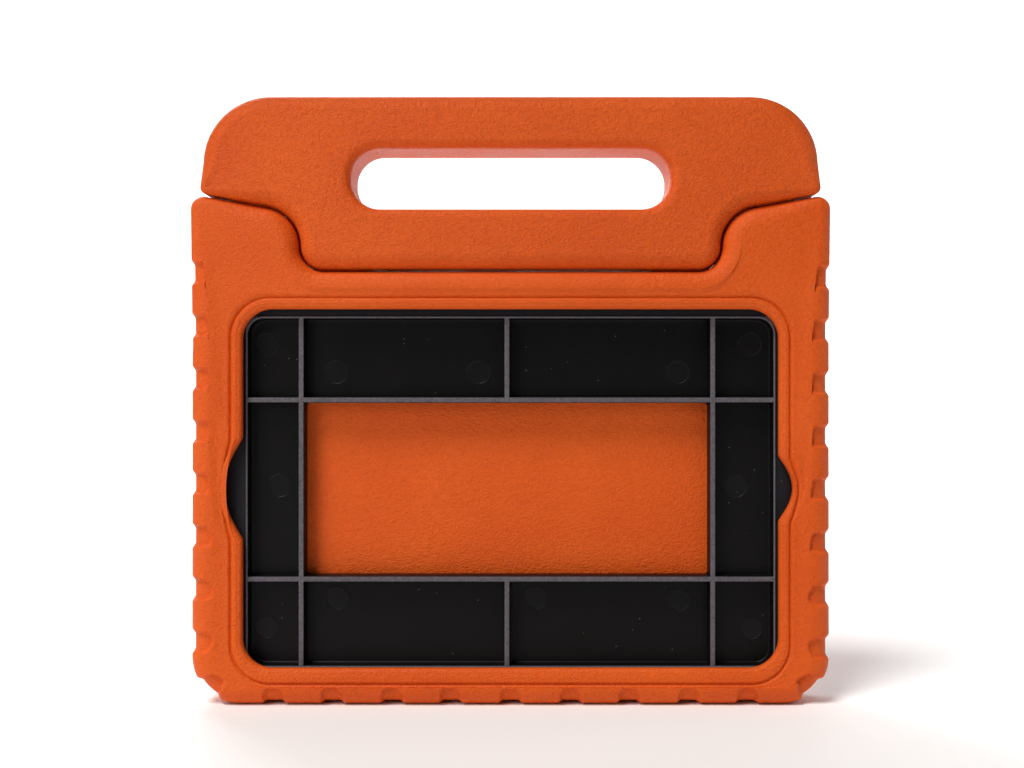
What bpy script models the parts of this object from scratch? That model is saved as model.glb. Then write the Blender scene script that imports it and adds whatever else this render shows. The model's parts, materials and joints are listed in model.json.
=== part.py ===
"""Foam tablet case with a tilting carrying handle and a ribbed plastic former in its bay.

Metres, +Z up. The front (screen side) faces -Y, +X is to the right seen from the front.
The origin is at the middle of the case's footprint. At rest the case stands on its lower
long edge with the handle upright; the handle tilts backwards about the hinge axis.
"""
import math

import bmesh
import bpy
from mathutils import Vector

# Tablet that the case is made for, and the play round it in the bay.
TABLET_WIDTH = 0.2000
TABLET_HEIGHT = 0.1347
TABLET_THICKNESS = 0.0072
TABLET_CORNER = 0.0100
BAY_PLAY = 0.0005
BAY_PLAY_DEPTH = 0.0004

# Foam body: walls round the bay, lip over the tablet's edge, edge rounding.
CASE_DEPTH = 0.0250
SIDE_WALL = 0.0130
BOTTOM_WALL = 0.0084
TOP_WALL = 0.0098
LIP_THICKNESS = 0.0041
LIP_COVER_SIDE = 0.0055
LIP_COVER_BOTTOM = 0.0048
LIP_COVER_TOP = 0.0037
LIP_CORNER = 0.0100
LIP_BULGE_DEPTH = 0.0067
LIP_BULGE_HEIGHT = 0.0230
LIP_BULGE_RUN = 0.0080
LIP_BULGE_RADIUS = 0.0090
BODY_CORNER = 0.0150
BODY_EDGE = 0.0040
BACK_PANEL_MARGIN = 0.0150
BACK_PANEL_DEPTH = 0.0045
BACK_PANEL_CORNER = 0.0120

# Ears beside the handle, and the recess between them.
EAR_WIDTH = 0.0379
EAR_RISE = 0.0274
EAR_TOP_SLOPE = math.radians(10.0)
EAR_OUTER_RADIUS = 0.0045
EAR_SHOULDER_RADIUS = 0.0140
RECESS_CORNER_RADIUS = 0.0090

# Handle.
HANDLE_GAP = 0.0008
HANDLE_HEIGHT = 0.0616
HANDLE_SIDE_INSET = 0.0035
HANDLE_TAPER = 0.0012
HANDLE_TOP_RADIUS = 0.0200
HANDLE_WING_RADIUS = 0.0030
HANDLE_EDGE = 0.0045
SLOT_BAR_HEIGHT = 0.0213
SLOT_HEIGHT = 0.0214
SLOT_END_MARGIN = 0.0190
SLOT_CORNER = 0.0102
SLOT_EDGE = 0.0035

# Hinge: one axis along X, through pins in both ears.
HINGE_RISE = 0.0081
HINGE_FROM_BACK = 0.0060
HINGE_POCKET_RADIUS = 0.0105
HINGE_POCKET_INNER = 0.0066
HINGE_POCKET_DEPTH = 0.0024
PIN_RADIUS = 0.0020
PIN_HEAD_RADIUS = 0.0036
PIN_HEAD_THICKNESS = 0.0020
PIN_TAIL = 0.0020
PIN_GROOVE_RADIUS = 0.0015
RUNNING_GAP = 0.0003
BUSH_WALL = 0.0006
BUSH_LENGTH = 0.0120
BUSH_FLANGE = 0.0012
TUBE_WALL = 0.0009
WASHER_THICKNESS = 0.0012
WASHER_RADIUS = 0.0050
RING_THICKNESS = 0.0008
RING_OPENING = math.radians(60.0)
BRACKET_BOSS_RADIUS = 0.0045
BRACKET_BOSS_LENGTH = 0.0080
BRACKET_THICKNESS = 0.0030
BRACKET_FRONT = 0.0110
BRACKET_BACK = 0.0035
BRACKET_ABOVE = 0.0080
BRACKET_BELOW = 0.0130
BRACKET_CORNER = 0.0025
BRACKET_KEY_RADIUS = 0.0026

# Plastic former that fills the bay in the tablet's place.
FORMER_WALL = 0.0010
FORMER_COVE = 0.0042
FORMER_FLOOR = 0.0016
RIB_THICKNESS = 0.0018
RIB_DROP = 0.0003
SIDE_RIB_FROM_EDGE = 0.0275
LONG_RIB_FROM_EDGE = 0.0345
WINDOW_CORNER = 0.0012

# Openings through the foam for the tablet's camera and sockets.
CAMERA_RADIUS = 0.0060
CAMERA_FLARE = 0.0030
CAMERA_FROM_SIDE = 0.0150
CAMERA_FROM_TOP = 0.0150
SOCKET_HEIGHT = 0.0160
SOCKET_DEPTH = 0.0066
SOCKET_CORNER = 0.0025
SPEAKER_HEIGHT = 0.0220
SPEAKER_DEPTH = 0.0046
SPEAKER_CORNER = 0.0020
SPEAKER_SPACING = 0.0340
JACK_RADIUS = 0.0045
JACK_FROM_TOP = 0.0160

GAP = 0.0003
OVERRUN = 0.0050
ARC_STEPS = 6
ROUND_STEPS = 24

# Sizes and places that follow from the ones above.
half_width = TABLET_WIDTH / 2 + BAY_PLAY + SIDE_WALL
bay_half = TABLET_WIDTH / 2 + BAY_PLAY
bay_low = BOTTOM_WALL
bay_high = BOTTOM_WALL + TABLET_HEIGHT + 2 * BAY_PLAY
bay_mid = (bay_low + bay_high) / 2
front = -CASE_DEPTH / 2
back = CASE_DEPTH / 2
bay_front = front + LIP_THICKNESS
bay_back = bay_front + TABLET_THICKNESS + 2 * BAY_PLAY_DEPTH
recess_floor = bay_high + TOP_WALL
recess_half = half_width - EAR_WIDTH
handle_bottom = recess_floor + HANDLE_GAP
handle_top = handle_bottom + HANDLE_HEIGHT
handle_half = half_width - HANDLE_SIDE_INSET
slot_half = recess_half - SLOT_END_MARGIN
slot_low = handle_bottom + SLOT_BAR_HEIGHT
hinge_y = back - HINGE_FROM_BACK
hinge_z = recess_floor + HINGE_RISE
bush_hole = PIN_RADIUS + RUNNING_GAP
bush_radius = bush_hole + BUSH_WALL
tube_bore = bush_radius + GAP
tube_radius = tube_bore + TUBE_WALL
pocket_face = recess_half + HINGE_POCKET_DEPTH
handle_end = recess_half - HANDLE_GAP


def remove_everything():
    """Start from an empty scene."""
    for item in list(bpy.data.objects):
        bpy.data.objects.remove(item, do_unlink=True)


def make_material(name, colour, roughness, metallic=0.0):
    """A Principled material with one colour."""
    material = bpy.data.materials.new(name)
    material.use_nodes = True
    shader = material.node_tree.nodes["Principled BSDF"]
    shader.inputs["Base Color"].default_value = (*colour, 1.0)
    shader.inputs["Roughness"].default_value = roughness
    shader.inputs["Metallic"].default_value = metallic
    return material


def finish_object(name, mesh_build, material=None, origin=(0.0, 0.0, 0.0)):
    """Turn a bmesh in world space into a named object whose origin is at the given point."""
    bmesh.ops.remove_doubles(mesh_build, verts=mesh_build.verts, dist=1e-7)
    bmesh.ops.recalc_face_normals(mesh_build, faces=mesh_build.faces)
    bmesh.ops.translate(mesh_build, verts=mesh_build.verts, vec=-Vector(origin))
    mesh = bpy.data.meshes.new(name)
    mesh_build.to_mesh(mesh)
    mesh_build.free()
    if material:
        mesh.materials.append(material)
    mesh.shade_smooth()
    mesh.set_sharp_from_angle(angle=math.radians(40.0))
    piece = bpy.data.objects.new(name, mesh)
    piece.location = origin
    bpy.context.scene.collection.objects.link(piece)
    return piece


def cut(piece, cutter):
    """Subtract a hidden cutter from a piece."""
    cutter.hide_render = True
    cutter.display_type = 'WIRE'
    modifier = piece.modifiers.new(cutter.name, 'BOOLEAN')
    modifier.operation = 'DIFFERENCE'
    modifier.solver = 'EXACT'
    modifier.object = cutter


def join(piece, addition):
    """Unite a piece with a hidden solid."""
    addition.hide_render = True
    addition.display_type = 'WIRE'
    modifier = piece.modifiers.new(addition.name, 'BOOLEAN')
    modifier.operation = 'UNION'
    modifier.solver = 'EXACT'
    modifier.object = addition


def rounded_outline(corners):
    """Points round a polygon whose corners are arcs, counter-clockwise.

    Each corner is (u, v, radius). Each point comes back as (position, outward normal,
    largest inset that keeps the outline from crossing itself).
    """
    points = []
    for index, (u, v, radius) in enumerate(corners):
        corner = Vector((u, v))
        arriving = (corner - Vector(corners[index - 1][:2])).normalized()
        leaving = (Vector(corners[(index + 1) % len(corners)][:2]) - corner).normalized()
        turn = math.atan2(arriving.cross(leaving), arriving.dot(leaving))
        side = math.copysign(1.0, turn)
        start = corner - arriving * radius * math.tan(abs(turn) / 2)
        inward = Vector((-arriving.y, arriving.x)) * side
        centre = start + inward * radius
        limit = radius * 0.97 if turn > 0 else 1.0
        for step in range(ARC_STEPS + 1):
            angle = turn * step / ARC_STEPS
            cos_a = math.cos(angle)
            sin_a = math.sin(angle)
            spoke = -inward
            turned = Vector((spoke.x * cos_a - spoke.y * sin_a, spoke.x * sin_a + spoke.y * cos_a))
            points.append((centre + turned * radius, turned * side, limit))
    return points


def rounded_box(half_u, low_v, high_v, radius, middle_u=0.0):
    """Outline of a rectangle with round corners."""
    left = middle_u - half_u
    right = middle_u + half_u
    return rounded_outline([(left, low_v, radius), (right, low_v, radius),
                            (right, high_v, radius), (left, high_v, radius)])


def skin(mesh_build, loops):
    """Join successive loops of corners with faces and close both ends."""
    rings = [[mesh_build.verts.new(point) for point in loop] for loop in loops]
    count = len(rings[0])
    for near, far in zip(rings, rings[1:]):
        for index in range(count):
            following = (index + 1) % count
            mesh_build.faces.new((near[index], near[following], far[following], far[index]))
    mesh_build.faces.new(rings[0])
    mesh_build.faces.new(rings[-1])


def plate_loops(outline, profile):
    """Loops of an outline in XZ, one for each (inset, y) of the profile."""
    return [[(spot.x - normal.x * min(inset, limit), y, spot.y - normal.y * min(inset, limit))
             for spot, normal, limit in outline] for inset, y in profile]


def edge_profile(low, high, low_edge, high_edge, flare=1.0):
    """(inset, y) pairs of a plate whose two edges are rounded; flare -1 widens instead."""
    pairs = []
    for step in range(ARC_STEPS + 1):
        angle = math.pi / 2 * step / ARC_STEPS
        pairs.append((flare * low_edge * (1 - math.sin(angle)), low + low_edge * (1 - math.cos(angle))))
    for step in range(ARC_STEPS + 1):
        angle = math.pi / 2 * step / ARC_STEPS
        pairs.append((flare * high_edge * (1 - math.cos(angle)), high - high_edge * (1 - math.sin(angle))))
    return pairs


def plate(name, outline, profile, material=None, origin=(0.0, 0.0, 0.0)):
    """A solid with one outline in XZ, carried through Y."""
    build = bmesh.new()
    skin(build, plate_loops(outline, profile))
    return finish_object(name, build, material, origin)


def side_bar(name, outline, x_low, x_high, material=None, origin=(0.0, 0.0, 0.0)):
    """A solid with one outline in YZ, carried through X."""
    build = bmesh.new()
    skin(build, [[(x, spot.x, spot.y) for spot, _, _ in outline] for x in (x_low, x_high)])
    return finish_object(name, build, material, origin)


def turned(name, profile, side, centre, closed, material=None, sweep=2 * math.pi):
    """A solid turned about an axis along X: profile is (x, radius), side +1 or -1."""
    build = bmesh.new()
    corners = [build.verts.new((side * x, centre[0], centre[1] + radius)) for x, radius in profile]
    edges = [build.edges.new(pair) for pair in zip(corners, corners[1:])]
    if closed:
        edges.append(build.edges.new((corners[-1], corners[0])))
    whole = sweep > 2 * math.pi - 1e-6
    if not whole:
        build.faces.new(corners)
    bmesh.ops.spin(build, geom=build.verts[:] + build.edges[:] + build.faces[:],
                   cent=(0.0, centre[0], centre[1]), axis=(1, 0, 0), angle=sweep,
                   steps=ROUND_STEPS, use_merge=whole)
    bmesh.ops.remove_doubles(build, verts=build.verts, dist=1e-7)
    origin = (0.0, centre[0], centre[1])
    return finish_object(name, build, material, origin)


def body_outline():
    """Outline of the foam body: rectangle with two ears and the handle's recess between them."""
    ear_top = recess_floor + EAR_RISE
    shoulder = ear_top - EAR_WIDTH * math.tan(EAR_TOP_SLOPE)
    right = [(half_width, 0.0, BODY_CORNER), (half_width, ear_top, EAR_OUTER_RADIUS),
             (recess_half, shoulder, EAR_SHOULDER_RADIUS), (recess_half, recess_floor, RECESS_CORNER_RADIUS)]
    left = [(-u, v, radius) for u, v, radius in reversed(right)]
    return rounded_outline(right + left)


def lip_outline():
    """Outline of the screen opening, with a bulge in the middle of each short side."""
    half = bay_half - LIP_COVER_SIDE
    low = bay_low + LIP_COVER_BOTTOM
    high = bay_high - LIP_COVER_TOP
    flat = LIP_BULGE_HEIGHT / 2
    foot = flat + LIP_BULGE_RUN
    middle = (low + high) / 2
    right = [(half, low, LIP_CORNER),
             (half, middle - foot, LIP_BULGE_RADIUS),
             (half + LIP_BULGE_DEPTH, middle - flat, LIP_BULGE_RADIUS),
             (half + LIP_BULGE_DEPTH, middle + flat, LIP_BULGE_RADIUS),
             (half, middle + foot, LIP_BULGE_RADIUS),
             (half, high, LIP_CORNER)]
    left = [(-u, v, radius) for u, v, radius in reversed(right)]
    return rounded_outline(right + left)


def handle_outline():
    """Outline of the handle: wings over the ears, a bar between them."""
    ear_top = recess_floor + EAR_RISE
    shoulder = ear_top - EAR_WIDTH * math.tan(EAR_TOP_SLOPE)
    slope = math.tan(EAR_TOP_SLOPE)
    lift = HANDLE_GAP / math.cos(EAR_TOP_SLOPE)
    shoulder_inner = shoulder + lift - HANDLE_GAP * slope
    wing_low = shoulder_inner + (handle_half - handle_end) * slope
    right = [(handle_end, handle_bottom, RECESS_CORNER_RADIUS - HANDLE_GAP),
             (handle_end, shoulder_inner, EAR_SHOULDER_RADIUS + HANDLE_GAP),
             (handle_half, wing_low, HANDLE_WING_RADIUS),
             (handle_half - HANDLE_TAPER, handle_top, HANDLE_TOP_RADIUS)]
    left = [(-u, v, radius) for u, v, radius in reversed(right)]
    return rounded_outline(right + left)


def make_foam_body(material):
    """Body with its bay, lip, back panel, hinge sockets and openings."""
    body = plate("foam_body", body_outline(), edge_profile(front, back, BODY_EDGE, BODY_EDGE), material)
    bay = rounded_box(bay_half, bay_low, bay_high, TABLET_CORNER)
    cut(body, plate("bay_cutter", bay, [(0.0, bay_front), (0.0, bay_back)]))
    cut(body, plate("lip_cutter", lip_outline(), [(0.0, front - OVERRUN), (0.0, bay_back - LIP_THICKNESS)]))
    panel = rounded_box(half_width - BACK_PANEL_MARGIN, BACK_PANEL_MARGIN,
                        recess_floor - BACK_PANEL_MARGIN, BACK_PANEL_CORNER)
    cut(body, plate("back_panel_cutter", panel, [(0.0, back - BACK_PANEL_DEPTH), (0.0, back + OVERRUN)]))
    for side, word in ((1, "right"), (-1, "left")):
        make_hinge_cutters(body, side, word)
    make_opening_cutters(body)
    return body


def make_hinge_cutters(body, side, word):
    """Clearance round the bar's end, and the space for the bracket and the pin in the ear."""
    centre = (hinge_y, hinge_z)
    inner = recess_half - HINGE_POCKET_INNER
    boss = BRACKET_BOSS_RADIUS + GAP
    head = PIN_HEAD_RADIUS + GAP
    plate_x = pocket_face + BRACKET_BOSS_LENGTH - GAP
    head_x = plate_x + BRACKET_THICKNESS + 2 * GAP
    deep = head_x + GAP + PIN_HEAD_THICKNESS
    socket = [(inner, 0.0), (inner, HINGE_POCKET_RADIUS), (pocket_face, HINGE_POCKET_RADIUS),
              (pocket_face, boss), (head_x - GAP, boss), (head_x - GAP, head), (deep, head), (deep, 0.0)]
    cut(body, turned("hinge_socket_cutter_" + word, socket, side, centre, False))
    slot = bracket_outline(GAP)
    ends = sorted((side * plate_x, side * head_x))
    cut(body, side_bar("bracket_slot_cutter_" + word, slot, ends[0], ends[1]))


def bracket_outline(margin):
    """Outline in YZ of the plate that is held in the ear."""
    low = hinge_z - BRACKET_BELOW - margin
    high = hinge_z + BRACKET_ABOVE + margin
    near = hinge_y - BRACKET_FRONT - margin
    far = hinge_y + BRACKET_BACK + margin
    return rounded_box((far - near) / 2, low, high, BRACKET_CORNER, (near + far) / 2)


def make_opening_cutters(body):
    """Camera hole in the back, socket and speaker slots in one end, jack hole in the other."""
    mid_y = (bay_front + bay_back) / 2
    outside = half_width + OVERRUN
    inside = bay_half - OVERRUN
    camera_x = -(bay_half - CAMERA_FROM_SIDE)
    camera_z = bay_high - CAMERA_FROM_TOP
    flare = BACK_PANEL_DEPTH
    build = bmesh.new()
    rings = []
    for y, radius in ((bay_back - OVERRUN / 2, CAMERA_RADIUS), (back - 2 * flare, CAMERA_RADIUS),
                      (back + flare, CAMERA_RADIUS + CAMERA_FLARE * 1.5)):
        rings.append([(camera_x + radius * math.cos(2 * math.pi * step / ROUND_STEPS), y,
                       camera_z + radius * math.sin(2 * math.pi * step / ROUND_STEPS))
                      for step in range(ROUND_STEPS)])
    skin(build, rings)
    cut(body, finish_object("camera_cutter", build))
    socket = rounded_box(SOCKET_DEPTH / 2, bay_mid - SOCKET_HEIGHT / 2, bay_mid + SOCKET_HEIGHT / 2,
                         SOCKET_CORNER, mid_y)
    cut(body, side_bar("socket_cutter", socket, inside, outside))
    for word, middle in (("upper", bay_mid + SPEAKER_SPACING), ("lower", bay_mid - SPEAKER_SPACING)):
        speaker = rounded_box(SPEAKER_DEPTH / 2, middle - SPEAKER_HEIGHT / 2, middle + SPEAKER_HEIGHT / 2,
                              SPEAKER_CORNER, mid_y)
        cut(body, side_bar("speaker_cutter_" + word, speaker, inside, outside))
    jack_z = bay_high - JACK_FROM_TOP
    jack = [(inside, 0.0), (inside, JACK_RADIUS), (outside, JACK_RADIUS), (outside, 0.0)]
    cut(body, turned("jack_cutter", jack, -1, (mid_y, jack_z), False))


def make_former(material):
    """Ribbed tray with the tablet's outline: coved wall, floor, ribs and a window in the middle."""
    low = bay_low + BAY_PLAY
    high = low + TABLET_HEIGHT
    half = TABLET_WIDTH / 2
    rim_front = bay_front + BAY_PLAY_DEPTH
    floor_back = rim_front + TABLET_THICKNESS
    floor_front = floor_back - FORMER_FLOOR
    former = plate("tablet_former", rounded_box(half, low, high, TABLET_CORNER),
                   [(0.0, rim_front), (0.0, floor_back)], material)
    depth = floor_front - rim_front
    cove = [(FORMER_WALL, rim_front - OVERRUN)]
    for step in range(ARC_STEPS + 1):
        angle = math.pi / 2 * step / ARC_STEPS
        cove.append((FORMER_WALL + FORMER_COVE * (1 - math.cos(angle)),
                     rim_front + depth * math.sin(angle)))
    cut(former, plate("tray_cutter", rounded_box(half, low, high, TABLET_CORNER), cove))
    side_rib = half - SIDE_RIB_FROM_EDGE
    row_low = low + LONG_RIB_FROM_EDGE
    row_high = high - LONG_RIB_FROM_EDGE
    middle = RIB_THICKNESS / 2
    inside = FORMER_WALL / 2
    ribs = {"side_rib_left": (-side_rib - RIB_THICKNESS, -side_rib, low + inside, high - inside),
            "side_rib_right": (side_rib, side_rib + RIB_THICKNESS, low + inside, high - inside),
            "long_rib_low": (inside - half, half - inside, row_low, row_low + RIB_THICKNESS),
            "long_rib_high": (inside - half, half - inside, row_high - RIB_THICKNESS, row_high),
            "middle_rib_low": (-middle, middle, low + inside, row_low + middle),
            "middle_rib_high": (-middle, middle, row_high - middle, high - inside)}
    for name, (u_low, u_high, v_low, v_high) in ribs.items():
        corners = [(u_low, v_low), (u_high, v_low), (u_high, v_high), (u_low, v_high)]
        build = bmesh.new()
        skin(build, [[(u, y, v) for u, v in corners] for y in (rim_front + RIB_DROP, floor_back - GAP)])
        join(former, finish_object(name, build))
    window = rounded_box(side_rib, row_low + RIB_THICKNESS, row_high - RIB_THICKNESS, WINDOW_CORNER)
    cut(former, plate("window_cutter", window, [(0.0, rim_front - OVERRUN), (0.0, floor_back + OVERRUN)]))
    return former


def make_handle(material):
    """Foam handle with its finger slot and the bore for the hinge tube."""
    origin = (0.0, hinge_y, hinge_z)
    handle = plate("handle_foam", handle_outline(), edge_profile(front, back, HANDLE_EDGE, HANDLE_EDGE),
                   material, origin)
    slot = rounded_box(slot_half, slot_low, slot_low + SLOT_HEIGHT, SLOT_CORNER)
    profile = edge_profile(front, back, SLOT_EDGE, SLOT_EDGE, flare=-1.0)
    profile = [(profile[0][0], front - OVERRUN)] + profile + [(profile[-1][0], back + OVERRUN)]
    cut(handle, plate("finger_slot_cutter", slot, profile))
    reach = handle_end + OVERRUN
    bore = [(-reach, 0.0), (-reach, tube_radius + GAP), (reach, tube_radius + GAP), (reach, 0.0)]
    cut(handle, turned("tube_bore_cutter", bore, 1, (hinge_y, hinge_z), False))
    return handle


def make_hinge(side, word, steel, nylon, bracket_plastic, spring_steel):
    """Bracket, pin, friction washer, bush and retaining ring of one side."""
    centre = (hinge_y, hinge_z)
    tube_end = handle_end - GAP
    bush_face = handle_end
    bush = [(bush_face - BUSH_LENGTH, bush_hole), (bush_face + BUSH_FLANGE, bush_hole),
            (bush_face + BUSH_FLANGE, tube_radius), (bush_face, tube_radius),
            (bush_face, bush_radius), (bush_face - BUSH_LENGTH, bush_radius)]
    turned("pivot_bush_" + word, bush, side, centre, True, nylon)
    washer_low = tube_end + GAP + BUSH_FLANGE + GAP
    washer_high = washer_low + WASHER_THICKNESS
    washer = [(washer_low, bush_hole), (washer_high, bush_hole),
              (washer_high, WASHER_RADIUS), (washer_low, WASHER_RADIUS)]
    turned("friction_washer_" + word, washer, side, centre, True, spring_steel)
    boss_low = max(washer_high + GAP, pocket_face - GAP)
    plate_low = pocket_face + BRACKET_BOSS_LENGTH
    plate_high = plate_low + BRACKET_THICKNESS
    make_bracket(side, word, boss_low, plate_low, plate_high, bracket_plastic)
    tail = bush_face - BUSH_LENGTH - GAP
    ring_low = tail - RING_THICKNESS
    head_low = plate_high + GAP
    pin = [(ring_low - GAP - PIN_TAIL, 0.0), (ring_low - GAP - PIN_TAIL, PIN_RADIUS),
           (ring_low - GAP, PIN_RADIUS), (ring_low - GAP, PIN_GROOVE_RADIUS),
           (tail + GAP, PIN_GROOVE_RADIUS), (tail + GAP, PIN_RADIUS),
           (head_low, PIN_RADIUS), (head_low, PIN_HEAD_RADIUS),
           (head_low + PIN_HEAD_THICKNESS, PIN_HEAD_RADIUS), (head_low + PIN_HEAD_THICKNESS, 0.0)]
    turned("pivot_pin_" + word, pin, side, centre, False, steel)
    ring = [(ring_low, PIN_GROOVE_RADIUS + GAP), (tail, PIN_GROOVE_RADIUS + GAP),
            (tail, bush_radius), (ring_low, bush_radius)]
    turned("retaining_ring_" + word, ring, side, centre, True, spring_steel, 2 * math.pi - RING_OPENING)


def make_bracket(side, word, boss_low, plate_low, plate_high, material):
    """Moulded bracket in the ear: a plate with a boss that the pin passes through."""
    centre = (hinge_y, hinge_z)
    ends = sorted((side * plate_low, side * plate_high))
    bracket = side_bar("hinge_bracket_" + word, bracket_outline(0.0), ends[0], ends[1], material,
                       (0.0, hinge_y, hinge_z))
    boss = [(boss_low, 0.0), (boss_low, BRACKET_BOSS_RADIUS),
            (plate_low + BRACKET_THICKNESS / 2, BRACKET_BOSS_RADIUS),
            (plate_low + BRACKET_THICKNESS / 2, 0.0)]
    join(bracket, turned("bracket_boss_" + word, boss, side, centre, False))
    reach = [(boss_low - OVERRUN, 0.0), (boss_low - OVERRUN, bush_hole),
             (plate_high + OVERRUN, bush_hole), (plate_high + OVERRUN, 0.0)]
    cut(bracket, turned("bracket_pin_hole_cutter_" + word, reach, side, centre, False))
    key_z = hinge_z - (BRACKET_BELOW + BRACKET_BOSS_RADIUS) / 2
    key_y = hinge_y - (BRACKET_FRONT - BRACKET_BACK) / 2
    key = [(plate_low - OVERRUN / 2, 0.0), (plate_low - OVERRUN / 2, BRACKET_KEY_RADIUS),
           (plate_high + OVERRUN, BRACKET_KEY_RADIUS), (plate_high + OVERRUN, 0.0)]
    cut(bracket, turned("bracket_key_cutter_" + word, key, side, (key_y, key_z), False))


def make_tube(material):
    """Tube through the bar of the handle, from one bush to the other."""
    end = handle_end - GAP
    wall = [(-end, tube_bore), (end, tube_bore), (end, tube_radius), (-end, tube_radius)]
    turned("handle_tube", wall, 1, (hinge_y, hinge_z), True, material)


def build_case():
    """All pieces of the case."""
    remove_everything()
    foam = make_material("orange_foam", (0.72, 0.13, 0.018), 0.55)
    handle_foam = make_material("orange_foam_handle", (0.72, 0.14, 0.02), 0.6)
    former_plastic = make_material("black_plastic", (0.012, 0.011, 0.012), 0.3)
    bracket_plastic = make_material("bracket_nylon", (0.03, 0.03, 0.032), 0.45)
    nylon = make_material("natural_nylon", (0.75, 0.73, 0.66), 0.4)
    steel = make_material("pin_steel", (0.55, 0.55, 0.56), 0.3, 1.0)
    spring_steel = make_material("spring_steel", (0.35, 0.35, 0.37), 0.35, 1.0)
    tube_steel = make_material("tube_aluminium", (0.7, 0.71, 0.72), 0.35, 1.0)
    make_foam_body(foam)
    make_former(former_plastic)
    make_handle(handle_foam)
    make_tube(tube_steel)
    for side, word in ((1, "right"), (-1, "left")):
        make_hinge(side, word, steel, nylon, bracket_plastic, spring_steel)


build_case()
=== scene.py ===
import json
import math

import bmesh
import bpy
import numpy as np
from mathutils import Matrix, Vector

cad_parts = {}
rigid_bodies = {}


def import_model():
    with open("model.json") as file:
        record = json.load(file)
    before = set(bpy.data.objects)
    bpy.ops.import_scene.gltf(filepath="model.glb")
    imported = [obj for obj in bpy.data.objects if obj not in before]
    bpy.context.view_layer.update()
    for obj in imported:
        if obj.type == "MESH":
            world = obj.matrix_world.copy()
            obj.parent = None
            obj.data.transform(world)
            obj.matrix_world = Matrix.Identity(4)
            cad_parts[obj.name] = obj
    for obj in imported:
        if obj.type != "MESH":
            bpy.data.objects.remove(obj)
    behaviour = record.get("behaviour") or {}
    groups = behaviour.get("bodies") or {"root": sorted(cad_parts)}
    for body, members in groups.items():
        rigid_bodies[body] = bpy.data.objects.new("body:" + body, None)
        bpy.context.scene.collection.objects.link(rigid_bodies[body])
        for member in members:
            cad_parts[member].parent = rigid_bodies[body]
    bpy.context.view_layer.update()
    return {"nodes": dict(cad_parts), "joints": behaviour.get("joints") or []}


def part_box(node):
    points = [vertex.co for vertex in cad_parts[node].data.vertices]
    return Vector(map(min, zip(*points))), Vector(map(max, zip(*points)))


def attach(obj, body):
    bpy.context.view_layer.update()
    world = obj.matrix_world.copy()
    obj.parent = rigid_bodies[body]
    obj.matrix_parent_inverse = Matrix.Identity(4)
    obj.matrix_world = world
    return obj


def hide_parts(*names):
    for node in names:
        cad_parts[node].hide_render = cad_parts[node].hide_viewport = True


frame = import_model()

nodes = frame["nodes"]
bodyLow, bodyHigh = (np.array(corner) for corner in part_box("foam_body"))
handleLow, handleHigh = (np.array(corner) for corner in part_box("handle_foam"))
formerLow, formerHigh = (np.array(corner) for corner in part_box("tablet_former"))
hinge = np.array(frame["joints"][0]["pos_m"])
print("frame loaded:", len(nodes), "nodes")


# Lengths are in metres, and outlines lie in XZ as (x, z).
def arcPoints(corners, counts):
    # A polygon whose corners are arcs. corners are (x, z, radius) and the first and last are plain
    # ends; counts gives the points on each straight stretch and each arc in turn, from the first end.
    spots, normals = [], []
    start = np.array(corners[0][:2])
    for index in range(1, len(corners)):
        corner = np.array(corners[index][:2])
        radius = corners[index][2]
        arriving = corner - np.array(corners[index - 1][:2])
        arriving = arriving / np.linalg.norm(arriving)
        outward = np.array([arriving[1], -arriving[0]])
        last = index == len(corners) - 1
        turn, stop = 0.0, corner
        if not last:
            leaving = np.array(corners[index + 1][:2]) - corner
            leaving = leaving / np.linalg.norm(leaving)
            turn = math.atan2(arriving[0] * leaving[1] - arriving[1] * leaving[0], arriving @ leaving)
            stop = corner - arriving * radius * math.tan(abs(turn) / 2)
        steps = counts[2 * index - 2]
        along = (np.arange(steps) + (0.0 if index == 1 else 0.5)) / (steps - (0.5 if last else 0.0))
        spots.append(start + (stop - start) * along[:, None])
        normals.append(np.tile(outward, (steps, 1)))
        if last:
            break
        steps = counts[2 * index - 1]
        angle = turn * (np.arange(steps) + 0.5) / steps
        side = math.copysign(1.0, turn)
        centre = stop - outward * radius * side
        spoke = np.stack([outward[0] * np.cos(angle) - outward[1] * np.sin(angle),
                          outward[0] * np.sin(angle) + outward[1] * np.cos(angle)], 1)
        spots.append(centre + spoke * radius * side)
        normals.append(spoke)
        start = corner + leaving * radius * math.tan(abs(turn) / 2)
    return np.concatenate(spots), np.concatenate(normals)


def mirrored(right, flip=True):
    # The right half, from the middle below to the middle above, and its mirror image back down.
    left = right[::-1][1:-1].copy()
    if flip:
        left[:, 0] *= -1
    return np.concatenate([right, left])


def runLength(outline):
    # Distance run along a closed outline from its first point.
    step = np.linalg.norm(np.roll(outline, -1, 0) - outline, axis=1)
    return np.concatenate([[0.0], np.cumsum(step)])


def smooth(value):
    value = np.clip(value, 0.0, 1.0)
    return value * value * (3 - 2 * value)


def softened(values, passes):
    # Each point round a closed loop is moved towards its neighbours' mean, again and again.
    for _ in range(passes):
        values = (np.roll(values, 1, 0) + 2 * values + np.roll(values, -1, 0)) / 4
    return values


def loopNormals(loop):
    # The tangent between neighbours, turned a quarter outwards and softened.
    tangent = np.roll(loop, -1, 0) - np.roll(loop, 1, 0)
    tangent /= np.linalg.norm(tangent, axis=1, keepdims=True)
    return softened(np.stack([tangent[:, 1], -tangent[:, 0]], 1), 4)


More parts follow.
